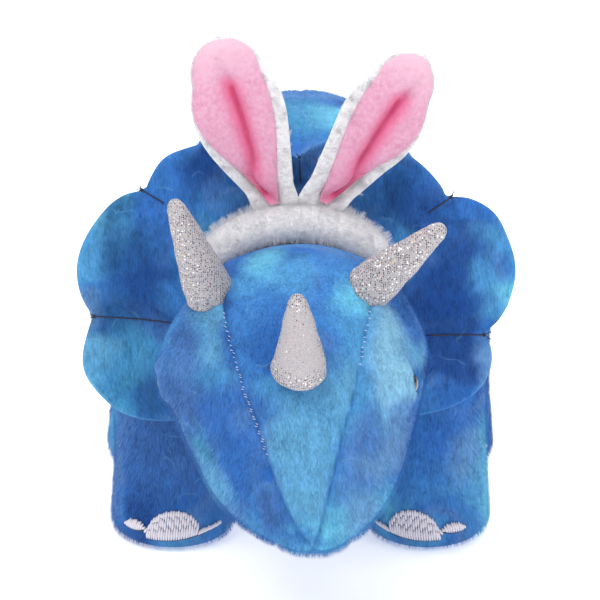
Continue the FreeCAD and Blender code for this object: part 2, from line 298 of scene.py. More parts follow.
def stuff(obj, held, pressure, most, shrink=0.0):
    """Queues a piece for the cloth simulation. held is 1 where a seam holds the cloth and 0 where it is free, and
    no point moves further than most."""
    weigh(obj, "held", held)
    cloth = obj.modifiers.new("stuffing", "CLOTH")
    set_all(
        cloth.settings, quality=5, mass=0.15, tension_stiffness=12, compression_stiffness=12, shear_stiffness=12,
        bending_stiffness=0.6, use_pressure=True, uniform_pressure_force=pressure, vertex_group_mass="held",
        shrink_min=shrink,
    )
    cloth.settings.effector_weights.gravity = 0
    cloth.collision_settings.use_collision = False
    STUFFED.append((obj, get_points(obj), most))


def run_stuffing(frames=18):
    """Runs every queued piece together, keeps each point within its cap, and applies the result."""
    for obj, _, _ in STUFFED:
        cache = obj.modifiers["stuffing"].point_cache
        cache.frame_start, cache.frame_end = 1, frames
    for f in range(1, frames + 1):
        scene.frame_set(f)
    for obj, rest, most in STUFFED:
        apply_modifiers(obj)
        moved = get_points(obj) - rest
        length = np.linalg.norm(moved, axis=1, keepdims=True)
        set_points(obj, rest + moved * np.minimum(1, most / np.maximum(length, 1e-9)))
        obj.vertex_groups.clear()
    scene.frame_set(1)


# ---------------------------------------------------------------- materials


DYES = {
    "navy": "#174285",
    "royal": "#2d66b0",
    "steel": "#22558a",
    "dusk": "#3964a2",
    "blue": "#3b79bb",
    "violet": "#4b79b6",
    "haze": "#628dbc",
    "teal": "#3f8ab2",
    "sky": "#4a8fc2",
    "light": "#5f9fc6",
    "cyan": "#62b3d2",
    "pale": "#84b8d2",
}


def colour(code):
    """A linear colour from a web colour code or the name of a dye."""
    code = DYES.get(code, code)
    parts = [int(code[i : i + 2], 16) / 255 for i in (1, 3, 5)]
    return [c / 12.92 if c < 0.04045 else ((c + 0.055) / 1.055) ** 2.4 for c in parts] + [1.0]


class Nodes:
    """A material's node tree, with one short call for each kind of node. A colour can be a code or a dye."""

    def __init__(self, name):
        self.material = bpy.data.materials.new(name)
        self.material.use_nodes = True
        self.tree = self.material.node_tree
        self.surface = self.tree.nodes["Principled BSDF"]
        self.place = self.add("ShaderNodeTexCoord").outputs["Object"]

    def add(self, kind, **settings):
        node = self.tree.nodes.new(kind)
        set_all(node, **settings)
        return node

    def put(self, socket, value):
        if isinstance(value, bpy.types.NodeSocket):
            self.tree.links.new(value, socket)
        else:
            socket.default_value = colour(value) if isinstance(value, str) else value

    def fill(self, node, **inputs):
        for key, value in inputs.items():
            self.put(node.inputs[key.replace("_", " ")], value)
        return node.outputs

    def math(self, operation, a, b=0.0, clamp=False):
        node = self.add("ShaderNodeMath", operation=operation, use_clamp=clamp)
        for socket, value in zip(node.inputs, (a, b)):
            self.put(socket, value)
        return node.outputs[0]

    def vector(self, operation, a, b=(0, 0, 0), out=0):
        node = self.add("ShaderNodeVectorMath", operation=operation)
        self.put(node.inputs[0], a)
        self.put(node.inputs[1], b)
        return node.outputs[out]

    def noise(self, place, scale, detail=2.0, roughness=0.5, distortion=0.0, out="Fac"):
        node = self.add("ShaderNodeTexNoise")
        settings = {"Scale": scale, "Detail": detail, "Roughness": roughness, "Distortion": distortion}
        return self.fill(node, Vector=place, **settings)[out]

    def voronoi(self, place, scale, randomness=1.0):
        node = self.add("ShaderNodeTexVoronoi", feature="F1")
        return self.fill(node, Vector=place, Scale=scale, Randomness=randomness)

    def split(self, value, kind="XYZ"):
        node = self.add("ShaderNodeSeparate" + kind)
        self.put(node.inputs[0], value)
        return node.outputs

    def ramp(self, fac, stops, interpolation="EASE"):
        node = self.add("ShaderNodeValToRGB")
        node.color_ramp.interpolation = interpolation
        elements = node.color_ramp.elements
        while len(elements) < len(stops):
            elements.new(1.0)
        for e, (at, value) in zip(elements, stops):
            e.position, e.color = at, colour(value) if isinstance(value, str) else value
        self.put(node.inputs["Fac"], fac)
        return node.outputs["Color"]

    def mix(self, fac, a, b, blend="MIX"):
        node = self.add("ShaderNodeMix", data_type="RGBA", blend_type=blend, clamp_factor=True)
        self.put(node.inputs["Factor"], fac)
        self.put(node.inputs[6], a)
        self.put(node.inputs[7], b)
        return node.outputs[2]

    def stretch(self, place, factors):
        return self.vector("MULTIPLY", place, factors)

    def range(self, value, low, high, to_low=0.0, to_high=1.0):
        node = self.add("ShaderNodeMapRange", interpolation_type="SMOOTHSTEP")
        for socket, v in zip(node.inputs, (value, low, high, to_low, to_high)):
            self.put(socket, v)
        return node.outputs[0]

    def near(self, place, centre, radius):
        """1 at a point, falling smoothly to 0 at the radius."""
        away = self.vector("DISTANCE", place, centre, out="Value")
        return self.range(away, radius * 0.25, radius, 1.0, 0.0)

    def bump(self, height, strength, distance):
        bump = self.fill(self.add("ShaderNodeBump"), Height=height, Strength=strength, Distance=distance)
        return bump["Normal"]

    def finish(self, **inputs):
        self.fill(self.surface, **inputs)
        return self.material


def white(value):
    return (value, value, value, 1.0)


# Where a dye pooled on a panel, in millimetres: place, radius and dye. In the second list a few pools are painted
# light instead: the navy pools on the frill near the head are partly dye and partly painted shade, and one haze
# pool is a painted highlight on a front leg's lit outer edge.
FOREHEAD_POOLS = [
    (-14, -104, 168, 14, "cyan"), (0, -108, 168, 12, "sky"), (14, -104, 168, 12, "blue"),
    (-26, -114, 160, 12, "sky"), (-6, -118, 162, 14, "sky"), (14, -118, 162, 12, "blue"),
    (28, -118, 154, 13, "cyan"), (-22, -128, 148, 18, "blue"), (10, -128, 150, 16, "blue"),
    (-12, -135, 142, 14, "royal"), (28, -132, 142, 12, "sky"), (-26, -140, 130, 14, "blue"),
    (26, -140, 126, 14, "light"), (-14, -146, 126, 11, "sky"), (14, -146, 124, 12, "light"),
    (0, -148, 118, 15, "sky"), (0, -152, 108, 20, "light"), (0, -158, 92, 22, "light"),
    (2, -161, 76, 20, "light"), (0, -158, 60, 12, "sky"),
]
OTHER_DYE_POOLS_AND_PAINTED_LIGHT = [
    (-42, -116, 148, 14, "light"), (-42, -128, 138, 13, "light"), (-54, -116, 136, 12, "dusk"),
    (-52, -124, 124, 15, "violet"), (-40, -136, 124, 13, "sky"), (-50, -130, 108, 17, "dusk"),
    (-38, -140, 108, 14, "royal"), (-28, -150, 98, 17, "royal"), (-46, -136, 88, 13, "teal"),
    (-28, -152, 84, 13, "royal"), (-40, -140, 74, 14, "light"), (-14, -158, 70, 11, "dusk"),
    (-24, -148, 60, 12, "sky"), (-8, -148, 50, 12, "sky"), (42, -120, 144, 15, "pale"),
    (42, -130, 130, 17, "pale"), (42, -136, 116, 17, "pale"), (56, -116, 130, 12, "light"),
    (56, -120, 110, 13, "blue"), (28, -146, 108, 12, "violet"), (28, -150, 98, 14, "violet"),
    (42, -138, 94, 15, "haze"), (32, -150, 86, 14, "haze"), (24, -154, 76, 12, "violet"),
    # From the second pool on this line the pools lie on the frill: its navy pools near the head are partly dye
    # and partly painted shade where the head shades the frill.
    (26, -150, 62, 14, "haze"), (-58, -64, 190, 20, "royal"), (-42, -64, 196, 16, "navy"),
    (-84, -66, 178, 18, "steel"), (-68, -64, 170, 17, "royal"), (-98, -66, 154, 13, "sky"),
    (-80, -66, 158, 17, "steel"), (-70, -64, 140, 24, "navy"), (-86, -66, 124, 18, "steel"),
    (-98, -66, 132, 11, "haze"), (-58, -64, 138, 10, "blue"), (-78, -68, 106, 20, "teal"),
    (-96, -68, 112, 12, "light"), (-66, -70, 90, 15, "steel"), (-84, -70, 86, 13, "teal"),
    (44, -64, 186, 22, "navy"), (60, -64, 196, 15, "royal"), (60, -64, 176, 18, "navy"),
    (74, -66, 178, 13, "royal"), (88, -66, 164, 13, "sky"), (70, -64, 154, 22, "navy"),
    (60, -64, 136, 20, "navy"), (86, -66, 142, 13, "sky"), (98, -66, 136, 12, "cyan"),
    (72, -66, 122, 24, "navy"), (88, -66, 126, 11, "sky"), (86, -68, 116, 9, "royal"),
    (72, -68, 102, 16, "navy"), (86, -70, 104, 12, "haze"), (70, -70, 86, 13, "royal"),
    (88, -70, 90, 13, "light"), (0, 24, 192, 26, "teal"), (18, 26, 190, 16, "cyan"),
    (-60, -46, 52, 34, "dusk"), (-60, -46, 6, 14, "sky"), (60, -46, 52, 34, "royal"),
    # The haze pool at x 84 is a painted highlight: the lit outer edge of a front leg.
    (84, -46, 44, 18, "haze"), (60, -46, 6, 14, "sky"),
]


def pooled(n, dye, place, pools):
    """The dye with each pool laid over it: most pools are dye, a few are painted shade and one is a painted
    highlight. A pool runs a little past its radius.
    """
    for *centre, radius, pool_colour in pools:
        near = n.near(place, tuple(c * MM for c in centre), radius * 1.15 * MM)
        dye = n.mix(n.math("MULTIPLY", near, 0.85), dye, pool_colour)
    return dye


def scale_emboss_and_highlight(n, place):
    """1 on the upper half of each ring of a loose pattern of wide scales, in patches: the raised edges for the
    bump, and the lit upper side that gets a painted highlight.
    """
    flattened = n.stretch(place, (0.75, 0.75, 1.15))
    scales = n.voronoi(flattened, 62.0)
    ring = n.math("ABSOLUTE", n.math("SUBTRACT", scales["Distance"], 0.36))
    from_middle = n.split(n.vector("SUBTRACT", flattened, scales["Position"]))
    patchy = n.range(n.noise(n.place, 30.0), 0.45, 0.62)
    line = n.math("MULTIPLY", n.range(ring, 0.0, 0.045, 1.0, 0.0), patchy)
    return n.math("MULTIPLY", line, n.range(from_middle[2], 0.0, 3 * MM))


def dyed_plush(name):
    """Short brushed pile, tie-dyed in blues, embossed with faint wide scales that carry a painted highlight on
    their upper edges. Painted shade lies along the seams, a few pools are painted shade and one is a painted
    highlight. The forehead is cut from another part of the cloth than the cheeks, so the dye changes at its
    seams."""
    n = Nodes(name)
    inside, from_seam, _ = n.split(n.add("ShaderNodeUVMap", uv_map="panel").outputs[0])
    forehead = n.range(inside, -0.35, 0.35)
    drift = n.vector("SUBTRACT", n.noise(n.place, 38.0, 3.0, out="Color"), (0.5, 0.5, 0.5))
    place = n.vector("ADD", n.place, n.stretch(drift, (0.024, 0.024, 0.03)))
    cloudy = n.noise(n.stretch(place, (1.0, 1.0, 0.8)), 17.0, 3.0, 0.5, 0.6)
    stops = [(0.28, "navy"), (0.38, "royal"), (0.46, "violet"), (0.53, "blue"), (0.6, "sky"), (0.70, "cyan")]
    ground = n.ramp(cloudy, stops)
    others, own = (pooled(n, ground, place, pools) for pools in (OTHER_DYE_POOLS_AND_PAINTED_LIGHT, FOREHEAD_POOLS))
    dye = n.mix(forehead, others, own)
    streaks = n.noise(n.stretch(n.place, (1.0, 1.0, 0.2)), 1300.0, 3.0, 0.65)
    brushed = n.noise(n.stretch(n.place, (1.0, 1.0, 0.35)), 240.0, 2.0)
    tone = n.math("ADD", n.range(streaks, 0.3, 0.7, 0.8, 1.16), n.range(brushed, 0.3, 0.7, -0.09, 0.09))
    dye = n.mix(1.0, dye, n.stretch(tone, (1, 1, 1)), "MULTIPLY")
    line = scale_emboss_and_highlight(n, place)
    # Painted highlight: a pale blue line on the lit upper side of each embossed scale.
    dye = n.mix(n.math("MULTIPLY", line, 0.16), dye, "#8ccbe8")
    # Painted shade: the cloth is darkened to deep blue within about a millimetre of each seam and frill gather,
    # where it dips in.
    sewn = n.range(from_seam, 0.1, 1.3, 0.5, 0.0)
    dye = n.mix(sewn, dye, "#1d4f96")
    height = n.math("SUBTRACT", n.math("MULTIPLY", streaks, 0.5), n.math("MULTIPLY", line, 0.25))
    return n.finish(
        Base_Color=dye, Roughness=0.8, Normal=n.bump(height, 0.6, 0.8 * MM), Sheen_Weight=0.25,
        Sheen_Roughness=0.5, Sheen_Tint="#a8cfe8", Specular_IOR_Level=0.15,
    )


def fluffy_white(name):
    n = Nodes(name)
    tufts = n.noise(n.place, 420.0, 3.0, 0.6)
    fine = n.noise(n.place, 2200.0, 2.0)
    tint = n.ramp(tufts, [(0.3, "#d8d7db"), (0.55, "#e4e3e6"), (0.75, "#eeeef0")])
    height = n.math("ADD", tufts, n.math("MULTIPLY", fine, 0.4))
    return n.finish(
        Base_Color=tint, Roughness=0.85, Normal=n.bump(height, 0.8, 1.6 * MM), Sheen_Weight=0.4,
        Sheen_Roughness=0.5, Specular_IOR_Level=0.2,
    )


def pink_velour(name, fold_low, fold_high):
    """Short pink nap that pales towards its tip, with a deeper pink along the ear's fold and painted shade at the
    bottom of its crease.
    """
    n = Nodes(name)
    along = arr(fold_high) - arr(fold_low)
    from_low = n.vector("SUBTRACT", n.place, tuple(fold_low))
    along_ear = n.vector("DOT_PRODUCT", from_low, tuple(along / np.dot(along, along)), out="Value")
    share = n.math("ADD", along_ear, 0.0, clamp=True)
    scaled = n.add("ShaderNodeVectorMath", operation="SCALE")
    scaled.inputs[0].default_value = tuple(along)
    n.put(scaled.inputs["Scale"], share)
    off = n.vector("DISTANCE", from_low, scaled.outputs[0], out="Value")
    mottled = n.noise(n.place, 520.0, 3.0)
    pink = n.ramp(mottled, [(0.3, "#d091ad"), (0.7, "#d6a3bc")])
    pink = n.mix(n.range(along_ear, 0.95, 1.5, 0.0, 0.75), pink, "#deb9c9")
    # Deeper pink along the fold: partly the lining's own colour and partly painted shade.
    pink = n.mix(n.range(off, 1.5 * MM, 10 * MM, 0.8, 0.0), pink, "#dc6390")
    # Painted shade: dark red at the bottom of the crease.
    pink = n.mix(n.range(off, 0.0, 3.0 * MM, 0.8, 0.0), pink, "#c23b6a")
    fine = n.noise(n.stretch(n.place, (1, 1, 0.3)), 1900.0, 2.0)
    return n.finish(
        Base_Color=pink, Roughness=0.75, Normal=n.bump(fine, 0.5, 0.6 * MM), Sheen_Weight=0.4,
        Sheen_Roughness=0.4, Sheen_Tint="#ffe0ee", Specular_IOR_Level=0.2,
    )


def foil_cloth(name, dotted_low, dotted_high):
    """Pale knit with fine foil dots, each of which mirrors a different way. Between the two shares of the horn's
    length the front is rubbed, so that few dots are left there."""
    n = Nodes(name)
    weave = n.voronoi(n.stretch(n.place, (1.0, 1.0, 0.8)), 2400.0)["Distance"]
    cloth = n.ramp(weave, [(0.15, "#bdb9bb"), (0.75, "#9d979c")])
    dots = n.voronoi(n.place, 1050.0, 0.5)
    pick = n.split(dots["Color"], "Color")
    share = n.add("ShaderNodeAttribute", attribute_name="share").outputs["Fac"]
    rubbed = n.range(share, dotted_low, dotted_low + 0.12)
    rubbed = n.math("MULTIPLY", rubbed, n.range(share, dotted_high, dotted_high - 0.15))
    facing = n.add("ShaderNodeAttribute", attribute_name="facing").outputs["Fac"]
    rubbed = n.math("MULTIPLY", rubbed, n.range(facing, 0.1, 0.55))
    left = n.math("GREATER_THAN", pick[1], n.math("MULTIPLY", rubbed, 0.97))
    mask = n.math("MULTIPLY", n.range(dots["Distance"], 0.3, 0.42, 1.0, 0.0), left)
    stops = [
        (0.0, "#4c4a51"), (0.36, "#74707a"), (0.6, "#98929a"), (0.68, "#e8d3b0"),
        (0.75, "#ffffff"), (0.89, "#ecc4c4"), (0.95, "#c4d6cc"),
    ]
    foil = n.ramp(pick[0], stops, "CONSTANT")
    tilt = n.vector("SUBTRACT", dots["Color"], (0.5, 0.5, 0.5))
    geometry = n.add("ShaderNodeNewGeometry").outputs["Normal"]
    leaning = n.vector("NORMALIZE", n.vector("ADD", geometry, n.stretch(tilt, (1.1, 1.1, 1.1))))
    normal = n.add("ShaderNodeMix", data_type="VECTOR")
    n.put(normal.inputs["Factor"], mask)
    n.put(normal.inputs[4], n.bump(weave, 0.35, 0.25 * MM))
    n.put(normal.inputs[5], leaning)
    return n.finish(
        Base_Color=n.mix(mask, cloth, foil), Metallic=n.math("MULTIPLY", mask, 0.75),
        Roughness=n.range(mask, 0.0, 1.0, 0.7, 0.25), Normal=normal.outputs[1],
    )


def thread(name, code, shine):
    n = Nodes(name)
    strands = n.noise(n.stretch(n.place, (1, 1, 0.5)), 4200.0, 2.0)
    base = colour(code)
    tint = n.mix(n.range(strands, 0.3, 0.7), [c * 0.8 for c in base[:3]] + [1], base)
    normal = n.bump(strands, 0.5, 0.3 * MM)
    return n.finish(Base_Color=tint, Roughness=0.45, Normal=normal, Sheen_Weight=shine)


def glossy_eye(name):
    n = Nodes(name)
    specks = n.noise(n.place, 900.0, 2.0)
    tint = n.ramp(specks, [(0.4, "#060608"), (0.7, "#0d0d11")])
    return n.finish(
        Base_Color=tint, Roughness=n.range(specks, 0.3, 0.7, 0.06, 0.11), Coat_Weight=0.6, Coat_Roughness=0.04
    )


def woven_tape(name):
    n = Nodes(name)
    warp = n.fill(n.add("ShaderNodeTexWave", bands_direction="Z"), Vector=n.place, Scale=900.0)["Fac"]
    tint = n.ramp(warp, [(0.2, "#dedbd6"), (0.8, "#f4f2ee")])
    return n.finish(Base_Color=tint, Roughness=0.6, Normal=n.bump(warp, 0.4, 0.2 * MM))


def paint(obj, material):
    obj.data.materials.clear()
    obj.data.materials.append(material)


# ---------------------------------------------------------------- pile


def nap(obj, length, per_mm2, lean, seed, loose=0.12, width=0.085 * MM, keep=None):
    """Gives a piece its pile: hairs that lean the way the cloth is brushed. keep is 0 where there is none."""
    area = sum(p.area for p in obj.data.polygons) / MM**2
    share = 1.0
    children = 24
    parents = max(int(area * per_mm2 * share / children), 200)
    system = obj.modifiers.new("nap", "PARTICLE_SYSTEM").particle_system
    system.seed = seed
    speed = length / 4  # a hair grows to four times its starting speed
    set_all(
        system.settings, type="HAIR", count=parents, use_advanced_hair=True, emit_from="FACE",
        distribution="RAND", hair_step=3, display_step=2, render_step=3, normal_factor=0.55 * speed,
        object_align_factor=tuple(c * speed for c in lean), factor_random=loose * speed,
        child_type="INTERPOLATED", child_percent=1, rendered_child_count=children, child_length=1.0,
        child_length_threshold=0.3, roughness_1=0.1 * length, roughness_endpoint=0.6 * loose * length,
        roughness_2=0.4 * loose * length, root_radius=1.0, tip_radius=0.25, radius_scale=width,
    )
    if keep is not None:
        weigh(obj, "pile", keep)
        system.vertex_group_density = "pile"
        system.vertex_group_length = "pile"


# ---------------------------------------------------------------- body


def held_near(distance, width):
    """1 on a seam, falling to 0 at a width from it."""
    return np.clip(1 - distance / width, 0, 1) ** 0.5


def make_torso():
    panels = ("flank_left", "flank_right", "belly_panel")
    low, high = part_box("torso_fill")
    middle = (low + high) / 2
    half = 36 * MM
    obj = wrap(
        "torso", panels, (0, middle.y - half, middle.z), (0, middle.y + half, middle.z), (0, 0, -1), 30, 120,
        cap_rings=24, least=45 * MM,
    )
    smooth_points(obj, 6)
    points = get_points(obj)
    far = seam_distance(points, *panels)
    set_values(obj, "seam", far)
    hips = [leg_axis(leg)[1] for leg in LEGS]
    at_hip = np.min([np.hypot(points[:, 1] - h[1], (points[:, 2] - h[2]) * 0.7) for h in hips], axis=0)
    near_hip = (at_hip < 34 * MM) & (points[:, 2] < middle.z - 8 * MM)
    stuff(obj, np.maximum(held_near(far, 3 * MM), near_hip * 0.6), 2.5, 4 * MM)
    return obj


def leg_axis(leg):
    """The middle of a leg's foot, on the floor, and of its hip."""
    hip = arr(joints[f"leg_{leg}_swing"]["pos_m"])
    return hip * (1, 1, 0), hip


def make_leg(leg):
    foot, hip = leg_axis(leg)
    back = (0, 1, 0)
    cover = (f"leg_{leg}_skin", f"leg_{leg}_sole")
    obj = wrap(f"leg_{leg}", cover, foot + (0, 0, 18 * MM), hip, back, 28, 72, cap_rings=14)
    points = get_points(obj)
    sole = points[:, 2] < 1.5 * MM
    round_leg = points - foot
    behind = np.abs(round_leg[:, 0]) + (round_leg[:, 1] < 0) * 1.0
    high = np.clip((points[:, 2] - hip[2] * 0.8) / (20 * MM), 0, 1)
    held = np.maximum(np.maximum(sole * 1.0, held_near(behind, 3 * MM)), high * 0.8)
    set_values(obj, "seam", behind)
    stuff(obj, held, 2.5, 3 * MM)
    return obj


def make_tail():
    low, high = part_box("tail_skin")
    root = arr(joints["tail_wag"]["pos_m"])
    tip = arr((0, high.y - 6 * MM, low.z + 6 * MM))
    obj = wrap("tail", ("tail_skin",), root, tip, (0, 0, -1), 30, 56, cap_rings=12)
    smooth_points(obj, 3)
    points = get_points(obj)
    under = np.abs(points[:, 0]) + (get_normals(obj)[:, 2] > 0) * 1.0
    set_values(obj, "seam", under)
    stuff(obj, held_near(under, 3 * MM), 2.0, 3 * MM)
    return obj


def make_neck():
    centre = arr(joints["head_turn"]["pos_m"])
    gap = arr((0, 12 * MM, 0))
    obj = wrap("neck", ("neck_fill",), centre - gap, centre + gap, (0, 0, 1), 8, 64, cap_rings=12)
    folds = np.arctan2(get_points(obj)[:, 0], get_points(obj)[:, 2] - centre[2])
    press_in(obj, (0.8 + 0.7 * np.cos(folds * 17)) * MM)
    return obj


# ---------------------------------------------------------------- head

HEAD_TOP = arr((-3, -91, 139)) * MM
HEAD_LOW = arr((1, -133, 70)) * MM
HEAD_PANELS = ("forehead_panel", "cheek_left", "cheek_right", "chin_panel")
EYE_RIDGE = {"left": 4.2 * MM, "right": 6.8 * MM}  # how far the cheek stands out in front of each eye
HORNS = ("brow_horn_left", "brow_horn_right", "nose_horn")


def eye_centre(side):
    """The middle of an eye's dome, which is the part of the node that is furthest out."""
    points = node_points(f"eye_{side}")
    out = unit(points.mean(0) - (HEAD_TOP * 0.4 + HEAD_LOW * 0.6))
    along = points @ out
    return points[along > along.max() - 6 * MM].mean(0), out


def make_head():
    obj = wrap("head", HEAD_PANELS + ("head_fill",), HEAD_TOP, HEAD_LOW, (0, 1, 0), 36, 132, cap_rings=22)
    smooth_points(obj, 4)
    points = get_points(obj)
    far = seam_distance(points, *HEAD_PANELS)
    set_values(obj, "seam", far)
    forehead, others = tree_of("forehead_panel"), tree_of("cheek_left", "cheek_right", "chin_panel")
    inside = [others.find_nearest(Vector(p))[3] - forehead.find_nearest(Vector(p))[3] for p in points]
    set_values(obj, "inside", inside)
    skin = tree_of(*HEAD_PANELS)
    off_skin = arr([skin.find_nearest(Vector(p))[3] for p in points])
    held = np.maximum(held_near(far, 2.5 * MM), np.clip(off_skin / (3 * MM), 0, 1))
    for side in SIDES:
        centre, _ = eye_centre(side)
        held = np.maximum(held, np.clip(1.6 - np.linalg.norm(points - centre, axis=1) / (9 * MM), 0, 1))
    stuff(obj, held, 3.0, 4.5 * MM)
    return obj


def sink_eyes(obj):
    """The thread behind each eye pulls it in, so that the cheek rises round it, most of all in front of it."""
    points = get_points(obj)
    for side in SIDES:
        centre, out = eye_centre(side)
        away = np.linalg.norm(points - centre, axis=1)
        ahead = np.clip((centre[1] - points[:, 1]) / (6 * MM), 0, 1)
        points -= np.outer(bell(away, 6.0 * MM), out) * 5.0 * MM
        rise = 0.8 * MM + EYE_RIDGE[side] * ahead
        points += np.outer(bell(away - 8.5 * MM, 4.0 * MM) * rise, out)
    set_points(obj, points)


def fill_out_beak(obj):
    """The filling settles low in the head, so it is fuller towards the beak than the cut of the panels."""
    points = get_points(obj)
    low = np.clip((90 * MM - points[:, 2]) / (45 * MM), 0, 1)
    press_in(obj, -3.2 * MM * low)
    points = get_points(obj)
    points[:, 0] += 3.0 * MM * low**2
    set_points(obj, points)


def make_seam_stitches(obj, side, high, low, count):
    """Short pale stitches across a forehead seam, evenly spaced between two heights."""
    points, normals = get_points(obj), get_normals(obj)
    sign = -1 if side == "left" else 1
    on_seam = (np.abs(get_values(obj, "inside")) < 0.9 * MM) & (get_values(obj, "seam") < 1.2 * MM)
    on_seam &= (points[:, 0] * sign > 0) & (normals[:, 1] < -0.3)
    points, normals = points[on_seam], normals[on_seam]
    parts = []
    for z in np.linspace(high, low, count):
        near = np.argmin(np.abs(points[:, 2] - z))
        at, out = points[near], normals[near]
        across = unit(np.cross(out, (0.3, 0, 1)))
        line = [at + across * t * MM + out * (1.2 - t * t) * MM for t in (-0.6, -0.2, 0.2, 0.6)]
        parts.append(tube(line, 0.14 * MM, 6))
    return joined(f"seam_stitches_{side}", parts)


def make_horn(name):
    """A stuffed cone: a round tip, a slight belly, and a foot that is drawn in where it is sewn down."""
    skin = node_points(f"{name}_skin")
    centre = skin.mean(0)
    axis = np.linalg.svd(skin - centre, full_matrices=False)[2][0]
    axis *= np.sign(axis[2])
    along = (skin - centre) @ axis
    off = np.linalg.norm(skin - centre - np.outer(along, axis), axis=1)
    high = along.max()
    root_r = off[along < along.min() + 6 * MM].max() * (1.1 if name == "nose_horn" else 1.0)
    tip_r = 3.7 * MM
    sewn = along[off > 0.93 * off.max()].mean()
    low = sewn - 7 * MM
    side = unit(np.cross(axis, (0, 1, 0)))
    other = np.cross(axis, side)
    rings, columns = 44, 60
    ways = circle(columns, side, other)
    rows, shares = [], []
    for i in range(rings):
        t = 0.5 - 0.5 * math.cos(math.pi * (i + 0.5) / rings)
        at = low + (high - low) * t
        up = (at - sewn) / (high - sewn)
        radius = root_r + (tip_r - root_r) * max(up, 0.0) ** 0.92
        radius *= 1.0 + 0.05 * math.sin(math.pi * min(max(up, 0), 1))
        if up < 0:
            radius *= math.sqrt(max(1 - (up * (high - sewn) / (8 * MM)) ** 2, 0.05))
        to_tip = high - at
        if to_tip < tip_r:
            radius = math.sqrt(max(2 * tip_r * to_tip - to_tip**2, 0.0))
        rows.append(centre + axis * at + ways * radius)
        shares += [up] * columns
    points = np.vstack(rows + [centre + axis * low, centre + axis * high])
    obj = add_mesh(name, points, closed_grid(rings, columns))
    shares += [-0.2, 1.0]
    set_values(obj, "share", shares)
    stuff(obj, np.clip(0.25 - arr(shares), 0, 1) * 4, 1.5, 0.8 * MM)
    return obj


def finish_horn(name, obj):
    """Unevenness of the filling, the pucker at the foot, and the values that the cloth's print reads."""
    points, normals = get_points(obj), get_normals(obj)
    share = get_values(obj, "share")
    pucker = bell(share, 0.06)
    turn = np.arctan2(points[:, 0] - points[:, 0].mean(), points[:, 2] - points[:, 2].mean())
    press_in(obj, ripple(points, 16 * MM, 9) * 0.25 * MM + pucker * (0.5 + 0.4 * np.sin(turn * 23)) * MM)
    if name == "nose_horn":
        points = get_points(obj)
        lobe = points[share < 0.12].mean(0) + (-11 * MM, 0, 0)
        away = np.linalg.norm(points - lobe, axis=1)
        press_in(obj, -1.8 * MM * bell(away, 6.5 * MM))
    set_values(obj, "facing", np.clip(-normals[:, 1], 0, 1) * (name == "nose_horn"))


# ---------------------------------------------------------------- frill

FRILL = ("frill_face", "frill_wadding", "frill_back")
FRILL_HOLE = 31 * MM  # radius of the hole that the neck goes through
FRILL_RINGS = 34


def gathers():
    """(inner end, notch) of each thread that gathers the frill, in order round the neck."""
    neck = arr(joints["head_nod"]["pos_m"])
    points = node_points("frill_threads")
    turn = np.arctan2(points[:, 0] - neck[0], points[:, 2] - neck[2])
    order = np.argsort(turn)
    groups = np.split(order, np.where(np.diff(turn[order]) > 0.15)[0] + 1)
    ends = []
    for g in groups:
        away = np.hypot(points[g, 0] - neck[0], points[g, 2] - neck[2])
        inner = points[g][away < away.min() + 1.5 * MM].mean(0)
        notch = points[g][away > away.max() - 1.5 * MM].mean(0)
        ends.append((inner, notch))
    return ends


def frill_frame():
    """The frill's middle plane: a point on it at the neck, its forward and up ways, and half its thickness."""
    neck = arr(joints["head_nod"]["pos_m"])
    low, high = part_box("frill_back")
    points = node_points("frill_back")
    top = points[points[:, 2] > high.z - 12 * MM].mean(0)
    bottom = points[points[:, 2] < low.z + 8 * MM].mean(0)
    up = unit((0, top[1] - bottom[1], top[2] - bottom[2]))
    front = np.cross(up, (1, 0, 0))
    front = front if front[1] < 0 else -front
    half = 4.5 * MM
    at = bottom + up * ((neck[2] - bottom[2]) / up[2])
    at = arr((neck[0], at[1], neck[2])) + front * (half - 0.75 * MM)
    return at, front, up, half


def line_distance(points, a, b):
    along = (b - a) / np.dot(b - a, b - a)
    share = np.clip((points - a) @ along, 0, 1)
    return np.linalg.norm(points - a - np.outer(share, b - a), axis=1)


